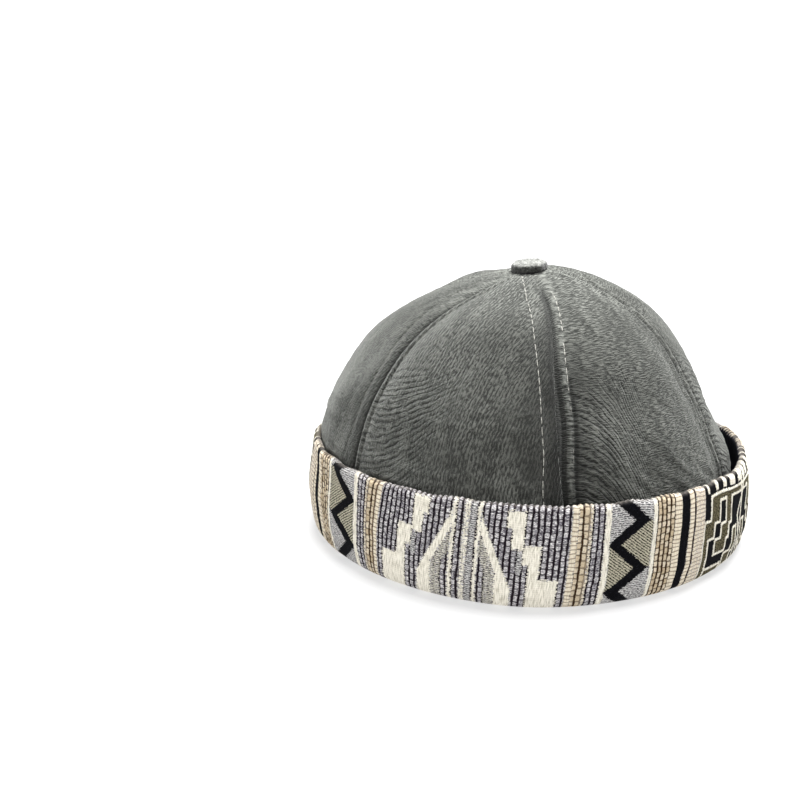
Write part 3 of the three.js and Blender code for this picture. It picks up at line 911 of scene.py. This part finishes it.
class Value:
    """A socket of a material, so that shader maths reads as an expression."""

    def __init__(self, paint, socket):
        self.paint, self.socket = paint, socket

    __add__ = __radd__ = maths("ADD")
    __mul__ = __rmul__ = maths("MULTIPLY")
    __sub__, __rsub__ = maths("SUBTRACT"), maths("SUBTRACT", reflected=True)
    __truediv__, __pow__ = maths("DIVIDE"), maths("POWER")
    __gt__, __lt__ = maths("GREATER_THAN"), maths("LESS_THAN")
    floor, part, abs, sign = maths("FLOOR"), maths("FRACT"), maths("ABSOLUTE"), maths("SIGN")
    pingpong, modulo = maths("PINGPONG"), maths("MODULO")

    def ramp(self, low, high):
        """0 at low, 1 at high, smooth between."""
        inputs = {"Value": self, "From Min": low, "From Max": high}
        return self.paint.node("ShaderNodeMapRange", {"interpolation_type": "SMOOTHSTEP"}, inputs)

    def from_half(self):
        """0 in the middle of each whole step of a value and 0.5 between steps."""
        return (self.part() - 0.5).abs()

    def between(self, low, high):
        return (self > low) * (self < high)


def linear(r, g, b):
    """A colour given as it shows on a screen, 0 to 255, as the shader takes it."""
    return tuple(((c / 255 + 0.055) / 1.055) ** 2.4 if c > 10 else c / 255 / 12.92 for c in (r, g, b))


class Paint:
    """A material under construction. A colour of three numbers is as it shows on a screen, 0 to 255."""

    def __init__(self, name):
        self.material = bpy.data.materials.new(name)
        self.material.use_nodes = True
        self.tree = self.material.node_tree
        self.shader = self.tree.nodes["Principled BSDF"]

    def plug(self, socket, value):
        if isinstance(value, Value):
            self.tree.links.new(value.socket, socket)
        elif isinstance(value, tuple) and len(value) == 3 and socket.type == "RGBA":
            socket.default_value = (*linear(*value), 1)
        else:
            socket.default_value = value

    def node(self, kind, settings=None, inputs=None, output=0):
        made = self.tree.nodes.new(kind)
        for key, value in (settings or {}).items():
            setattr(made, key, value)
        for key, value in (inputs or {}).items():
            self.plug(made.inputs[key], value)
        return Value(self, made.outputs[output])

    def map(self, name):
        """The two coordinates of a UV map."""
        uv = self.node("ShaderNodeUVMap", {"uv_map": name})
        split = self.node("ShaderNodeSeparateXYZ", None, {0: uv}).socket.node
        return Value(self, split.outputs[0]), Value(self, split.outputs[1])

    def attribute(self, name):
        return self.node("ShaderNodeAttribute", {"attribute_name": name}, None, "Fac")

    def object_coordinates(self):
        return self.node("ShaderNodeTexCoord", None, None, "Object")

    def vector(self, x, y, z=0.0):
        return self.node("ShaderNodeCombineXYZ", None, {0: x, 1: y, 2: z})

    def noise(self, place, detail=1.0, roughness=0.5, scale=1.0):
        """Noise at a place, a vector or a tuple of its parts."""
        vector = self.vector(*place) if isinstance(place, tuple) else place
        inputs = {"Vector": vector, "Scale": scale, "Detail": detail, "Roughness": roughness}
        return self.node("ShaderNodeTexNoise", None, inputs)

    def mix(self, factor, a, b):
        return self.node("ShaderNodeMix", {"data_type": "RGBA"}, {0: factor, 6: a, 7: b}, 2)

    def coats(self, colour, *coats):
        """Coats over a colour, one on another, each with how much of it there is and its own colour."""
        for amount, coat in coats:
            colour = self.mix(amount, colour, coat)
        return colour

    def bump(self, height, distance, strength=1.0):
        inputs = {"Height": height, "Distance": distance, "Strength": strength}
        return self.node("ShaderNodeBump", None, inputs)

    def finish(self, colour, roughness, normal=None, **constants):
        inputs = {"Base Color": colour, "Roughness": roughness}
        if normal is not None:
            inputs["Normal"] = normal
        for key, value in (*inputs.items(), *constants.items()):
            self.plug(self.shader.inputs[key.replace("_", " ")], value)
        return self.material


@cache
def crown_cloth():
    """Grey brushed cloth: level ripples or steep twill lines, and creases that fan out beside the seams,
    with painted shade and painted highlight in the creases and beside the seams and painted light towards
    the top.
    """
    paint = Paint("crown_cloth")
    fan_x, fan = paint.map("fan")
    across, along = paint.map("cloth")
    steep, zone, painted_seam_shading = (paint.attribute(name) for name in ("twill", "crease", "painted_seam_shading"))
    drift = paint.noise((across * 9, along * 9), 2.0) - 0.5
    cloud = paint.noise((across * 5.5, along * 4.0, 2.0), 3.0, 0.6)
    ripple = paint.noise((across * 32, along * 225 + drift * 5.0))
    steep_x, steep_y = across * 0.985 - along * 0.17, across * 0.17 + along * 0.985
    twill = paint.noise((steep_x * 180 + drift * 4.0, steep_y * 48, 4.0))
    wales = (steep_x * 64 + drift * 1.4).from_half().ramp(0.08, 0.42)
    breaks = paint.noise((fan_x * 20, fan * 1.3, 6.0))
    # painted highlight on the seams' puckered ridges, painted shade on the rest of the ridges and in the
    # seams' valleys
    ridge = (0 - painted_seam_shading).ramp(0.0, 0.8)
    pucker = paint.noise((across * 10, along * 46 + drift * 2.0, 15.0)).ramp(0.40, 0.60)
    level, upright = ripple.ramp(0.36, 0.64), twill.ramp(0.36, 0.64) * 0.65 + wales * 0.35
    lines = level + (upright - level) * steep * (1 - zone * 0.45)
    grain = paint.noise((across * 220, along * 220), 2.0, 0.65)
    streak = paint.noise((across * 20 + drift * 2.5, along * 2.6, 21.0)).ramp(0.3, 0.7)
    height = lines * 0.55 + grain * 0.5 + (streak - 0.5) * 0.17
    # painted light: paler towards the top; on the twill panels, painted shade high up and painted light low
    # down
    painted_highlight, high_up = along.ramp(0.95, 1.6), along.ramp(0.55, 1.1)
    dark = paint.mix(painted_highlight, (23, 24, 22), (50, 51, 48))
    pale = paint.mix(painted_highlight, (98, 99, 94), (136, 138, 132))
    # painted shade in the furrows of the fanned creases and painted highlight on their crests
    phase = (fan + drift * 1.8 + breaks * 0.8).from_half()
    broken = breaks.ramp(0.36, 0.54) * zone
    furrow, crest = (1 - phase.ramp(0.03, 0.26)) * broken, phase.ramp(0.28, 0.46) * broken
    colour = paint.coats(
        paint.mix(((height - 0.58) * (steep * 0.4 + 1) + 0.58).ramp(0.28, 0.88), dark, pale),
        (grain.ramp(0.58, 0.75) * 0.5, (122, 123, 118)),
        (cloud.ramp(0.32, 0.72) * (0.5 - painted_highlight * 0.3), (42, 43, 40)),
        (steep * high_up * 0.17, (22, 22, 21)),
        (steep * (1 - high_up) * 0.1, (112, 113, 108)),
        (crest * 0.34, (122, 124, 118)),
        (furrow * 0.82, (19, 19, 18)),
        (ridge * pucker * 0.6, (134, 136, 130)),
        (ridge * (1 - pucker) * 0.3, (30, 30, 29)),
        (painted_seam_shading.ramp(0.0, 1.0) * 0.92, (15, 15, 14)))
    normal = paint.bump(height - furrow + crest * 0.4 + ridge * pucker * 0.5, 0.0005)
    return paint.finish(colour, 0.92, normal, Sheen_Weight=0.34, Sheen_Roughness=0.5,
                        Sheen_Tint=(0.72, 0.74, 0.70, 1.0), Specular_IOR_Level=0.12)


# the dark and the pale of each thread; the thread beside the other seams is a darker copy, painted shade
THREADS = {"seam_thread": ((122, 121, 114), (180, 178, 171)), "painted_shade_thread": ((66, 66, 62), (118, 118, 112)),
           "strap_thread": ((20, 14, 12), (38, 28, 24))}


@cache
def thread(name):
    paint = Paint(name)
    twist = paint.noise(paint.object_coordinates(), scale=2600.0)
    return paint.finish(paint.mix(twist.ramp(0.35, 0.65), *THREADS[name]), 0.7, paint.bump(twist, 0.0001))


@cache
def cuff_jacquard():
    """The woven band: cream, lilac-grey chains on dark, navy and olive yarn, each with its own weave."""
    paint = Paint("cuff_jacquard")
    x, q = (value * MAP_UNIT for value in paint.map("weave"))
    v = paint.attribute("v")
    # the weft lies across the band in short floats: it frays the borders and streaks the colours
    fray = paint.noise((x * 0.6, q * 3.0), 2.0, 0.6) - 0.5
    fibre = paint.noise((x * 2.6, q * 2.6, 3.0), 2.0, 0.65)
    float_end = paint.noise((x * 0.9, q * 3.6, 7.0))
    sway = paint.noise((x * 0.16, q * 0.16, 5.0)) - 0.5
    spike = paint.noise((x * 0.75, q * 1.7, 13.0), 2.0, 0.6).ramp(0.32, 0.68) - 0.5
    p = (x + sway * 0.9).abs().pingpong(FOLD)
    # borders are the most ragged beside the pattern's middle line
    ragged = (p < 41.5) * 0.35 + (p < 80.0) * 0.27 + 0.33
    area = {name: (paint.attribute(name) + spike * much * ragged).ramp(-0.16, 0.16)
            for name, much in YARNS.items()}
    # chains: square knots between dark warp lines, each column with its own pitch
    in_tan = p.between(45.0, 50.5) + p.between(81.0, 92.0)
    place = (p - in_tan * TAN_SHIFT - CHAIN_FIRST) / CHAIN_PITCH
    column = place.floor()
    across = (place - column - 0.5).abs()
    pitch = ((column * 0.618).part() * 0.28 + 0.86) * BEAD_PITCH
    row = q / pitch + column * 0.382 + sway * 0.5
    along = row.from_half()
    which = paint.vector(column, row.floor(), x.sign())
    knot = paint.node("ShaderNodeTexWhiteNoise", None, {"Vector": which})
    swell = paint.noise((column * 3.3, q * 0.45, 9.0)) - 0.5
    warp_line = (across + fray * 0.22 + swell * 0.30).ramp(0.27, 0.37) * (1 - p.between(48.3, 50.6))
    corner = (across * 2.3) ** 4 + (along * 2.2) ** 4
    tie = ((along + fray * 0.24).ramp(0.36, 0.45) + (corner + fray).ramp(0.45, 0.8)).ramp(0.0, 1.0)
    tie = tie * (knot * 0.5 + 0.5)
    glint, shade = float_end.ramp(0.53, 0.61), float_end.ramp(0.47, 0.39)
    lilac = paint.coats(paint.mix(knot, (124, 120, 128), (214, 210, 212)),
                        (glint * 0.9, (252, 250, 247)), (shade * 0.75, (62, 56, 66)))
    tan = paint.coats(paint.mix(knot * 0.8, (206, 187, 156), (246, 234, 212)),
                      (shade * 0.45, (132, 106, 78)))
    line = paint.mix(area["tan"], (34, 27, 34), (62, 46, 32))
    knots = paint.mix(area["tan"], lilac, tan)
    # the speckled ground beside the arms: broken floats of cream over the chains
    dashes = (q / 0.85 + fray * 0.8).from_half()
    speckled = paint.mix((float_end + dashes * 0.5).ramp(0.50, 0.66), (62, 56, 60), (224, 220, 206))
    # fine horizontal floats
    hatch = paint.coats(paint.mix(dashes.ramp(0.12, 0.30), (48, 46, 50), (190, 188, 186)),
                        (glint * 0.75, (240, 239, 235)), (shade * 0.65, (72, 70, 74)))
    # olive with fine diagonals, plain in the fret
    slant = (p * 0.55 + q * 0.86 + fray).from_half()
    diagonal = (slant + (float_end - 0.5) * 1.3).ramp(0.10, 0.34)
    dots = (q / 0.8 + (p / 0.9).floor().modulo(2).abs() * 0.5).from_half()
    mottle = (paint.noise((x * 1.3, q * 1.6, 17.0)) + dots * 0.2).ramp(0.42, 0.66)
    olive = paint.mix(p > FRET_START, paint.mix(diagonal, (22, 21, 17), (190, 185, 164)),
                      paint.mix(mottle, (26, 24, 18), (112, 105, 80)))
    rib = (p * 0.8 - q * 0.8).from_half()
    # navy ribs, with painted highlights on the ends of its floats
    navy = paint.coats(paint.mix((rib * 0.6 + fibre * 0.6).ramp(0.35, 0.75), (2, 2, 4), (13, 13, 19)),
                       (float_end.ramp(0.60, 0.68) * 0.35, (56, 56, 68)))
    # cream: fine upright ribs, and lumps where it is laid as a cord
    ribs = paint.noise((x * 1.9, q * 0.28, 11.0))
    bars = (q / 0.9 + fray * 0.8).from_half()
    lumps = (q / 1.7 + sway).from_half()
    in_cord = p.between(89.0, 111.5) + p.between(42.0, 51.2)
    cream = paint.coats(
        paint.mix((ribs * 1.3 + bars * 0.2 + fibre * 0.5).ramp(0.5, 1.2), (186, 179, 160), (250, 245, 231)),
        (in_cord * 0.45, (226, 208, 178)),
        (in_cord * lumps.ramp(0.28, 0.44) * 0.7, (118, 98, 76)),
        (p.between(105.4, 111.5) * float_end.ramp(0.5, 0.42) * 0.7, (150, 142, 146)))
    brown = (p + fray * 0.8 + swell * 0.5 - 45.1).abs().ramp(0.55, 0.3) * (x < 0)
    # over the rim the yarns end in pale loops, with painted shade between the loops and over the rim's top,
    # and the inside is plain dark cloth
    loops = (p / CHAIN_PITCH).from_half()
    inner = paint.mix(fibre.ramp(0.3, 0.7), (22, 22, 28), (46, 46, 54))
    colour = paint.coats(
        paint.mix(warp_line, paint.mix(tie * 0.92, knots, line), line),
        (area["speckle"] * fray.ramp(-0.16, 0.02), speckled),
        (area["grey"], hatch),
        (area["navy"], navy),
        (area["olive"], olive),
        (area["dark"], (58, 46, 44)),
        (area["cream"], cream),
        (brown * 0.9, (84, 62, 44)),
        (v.ramp(40.5, 43.5) * loops.ramp(0.26, 0.42) * 0.7, (66, 60, 62)),
        (v.ramp(40.4, 43.0) * 0.62, (92, 88, 83)),
        ((v + loops * 1.8 + fray * 1.5).ramp(44.6, 45.3), inner),
        (1 - v.ramp(-4.5, -3.5), inner))
    plain = (1 - area["cream"]) * (1 - area["navy"]) * (1 - area["grey"]) * (1 - area["olive"])
    height = (1 - warp_line) * (1 - tie * 0.7) * plain * 0.8 + (ribs * 0.3 + bars * 0.15) * area["cream"]
    height = height + fibre * 0.45 + glint * 0.25 * plain
    height = height + dashes * area["grey"] * 0.5 + slant * area["olive"] * 0.5 + rib * area["navy"] * 0.4
    return paint.finish(colour, 0.9, paint.bump(height, 0.0004, 0.9), Specular_IOR_Level=0.08)


@cache
def button_cloth():
    """The crown's cloth, fuzzy, painted pale on top for light and dark underneath for shade."""
    paint = Paint("button_cloth")
    where, painted_light_and_shade = paint.object_coordinates(), paint.attribute("painted_light_and_shade")
    fuzz = paint.noise(where, 3.0, 0.65, 900.0)
    cloud = paint.noise(where, 2.0, scale=240.0)
    top = paint.mix(fuzz.ramp(0.28, 0.72), (90, 91, 88), (164, 165, 160))
    colour = paint.coats(
        paint.mix(fuzz.ramp(0.3, 0.7), (24, 25, 23), (84, 85, 81)),
        (cloud.ramp(0.35, 0.65) * 0.5, (46, 47, 44)),
        # painted shade underneath, painted light on top
        ((0 - painted_light_and_shade).ramp(0.1, 0.8), (10, 10, 9)),
        ((painted_light_and_shade + (fuzz - 0.5) * 0.8).ramp(0.2, 0.8), top))
    return paint.finish(colour, 0.95, paint.bump(fuzz, 0.0004), Sheen_Weight=0.4, Sheen_Roughness=0.5,
                        Specular_IOR_Level=0.15)


@cache
def strap_leather():
    """Dark brown leather with a fine wrinkled grain, a paler raw edge and a crease under its stitches."""
    paint = Paint("strap_leather")
    where, edge = paint.object_coordinates(), paint.attribute("edge")
    pebbles = {"Vector": where, "Scale": 900.0}
    pebble = paint.node("ShaderNodeTexVoronoi", {"feature": "DISTANCE_TO_EDGE"}, pebbles)
    cloud = paint.noise(where, 3.0, scale=130.0)
    fine = paint.noise(where, 2.0, 0.6, 1500.0)
    grain = pebble.ramp(0.0, 0.25) * 0.5 + fine.ramp(0.35, 0.65) * 0.5
    colour = paint.coats(
        paint.mix(grain, (27, 19, 17), (54, 42, 38)),
        (cloud.ramp(0.4, 0.75) * 0.4, (62, 50, 46)),
        (1 - edge.ramp(0.15, 0.7), (74, 63, 58)))
    crease = 1 - ((edge - STITCH_INSET) / 0.8).abs().ramp(0.0, 1.0)
    normal = paint.bump(grain * 0.35 + cloud * 0.3 - crease * 0.6, 0.0005)
    return paint.finish(colour, 0.42, normal, Specular_IOR_Level=0.4)


@cache
def closure_tape():
    paint = Paint("closure_tape")
    nap = paint.noise(paint.object_coordinates(), 2.0, 0.7, 1600.0)
    colour = paint.mix(nap.ramp(0.3, 0.7), (18, 18, 19), (52, 51, 52))
    return paint.finish(colour, 0.95, paint.bump(nap, 0.0008))


# The stage

CAMERA = {"azimuth": 18.5, "away": 732.16, "height": 276.71, "yaw": -4.667, "pitch": -16.611,
          "roll": 0.99, "lens": 75.15}


def make_camera():
    data = bpy.data.cameras.new("camera")
    data.lens = CAMERA["lens"]
    data.sensor_width = 36
    data.clip_start, data.clip_end = 0.01, 20
    camera = in_scene("camera", data)
    heading = turned(CAMERA["azimuth"] - CAMERA["yaw"], "Z")
    turn = heading @ turned(90 + CAMERA["pitch"], "X") @ turned(CAMERA["roll"], "Z")
    camera.matrix_world = at_place(CAMERA["azimuth"], CAMERA["away"], CAMERA["height"]) @ turn
    bpy.context.scene.camera = camera


def soft_sun(name, azimuth, elevation, spread, strength):
    data = bpy.data.lights.new(name, "SUN")
    data.angle = math.radians(spread)
    data.energy = strength
    light = in_scene(name, data)
    around, up = math.radians(azimuth), math.radians(elevation)
    way = Vector((math.sin(around) * math.cos(up), -math.cos(around) * math.cos(up), math.sin(up)))
    light.location = way
    light.rotation_euler = way.to_track_quat("Z", "Y").to_euler()


def make_stage():
    bm = bmesh.new()
    bmesh.ops.create_grid(bm, x_segments=2, y_segments=2, size=15)
    white = (1.0, 1.0, 1.0, 1.0)
    pale_floor = Paint("pale_floor").finish((0.21, 0.21, 0.211, 1.0), 0.9, Emission_Color=white,
                                            Emission_Strength=0.64)
    floor = mesh_object("floor", bm, pale_floor)
    world = bpy.data.worlds.new("studio")
    world.use_nodes = True
    background = world.node_tree.nodes["Background"].inputs
    background["Color"].default_value = white
    background["Strength"].default_value = 0.22
    bpy.context.scene.world = world
    bpy.context.scene.view_settings.view_transform = "Standard"
    soft_sun("key", 185, 71, 40, 11.4)
    soft_sun("fill", 5, 26, 80, 1.0)


make_camera()
make_stage()
for name, panel in PANELS.items():
    crown_panel(name, panel)
for name in SEAMS:
    seam_stitches(name)
    seam_tape(name)
make_cuff()
make_casing("left", 1)
make_casing("right", -1)
make_strap("left", STRAP_HIDDEN, OUTER_END, 1)
make_strap("right", INNER_END, 360 - STRAP_HIDDEN, -1)
make_closure()
make_button()
make_button_fuzz()
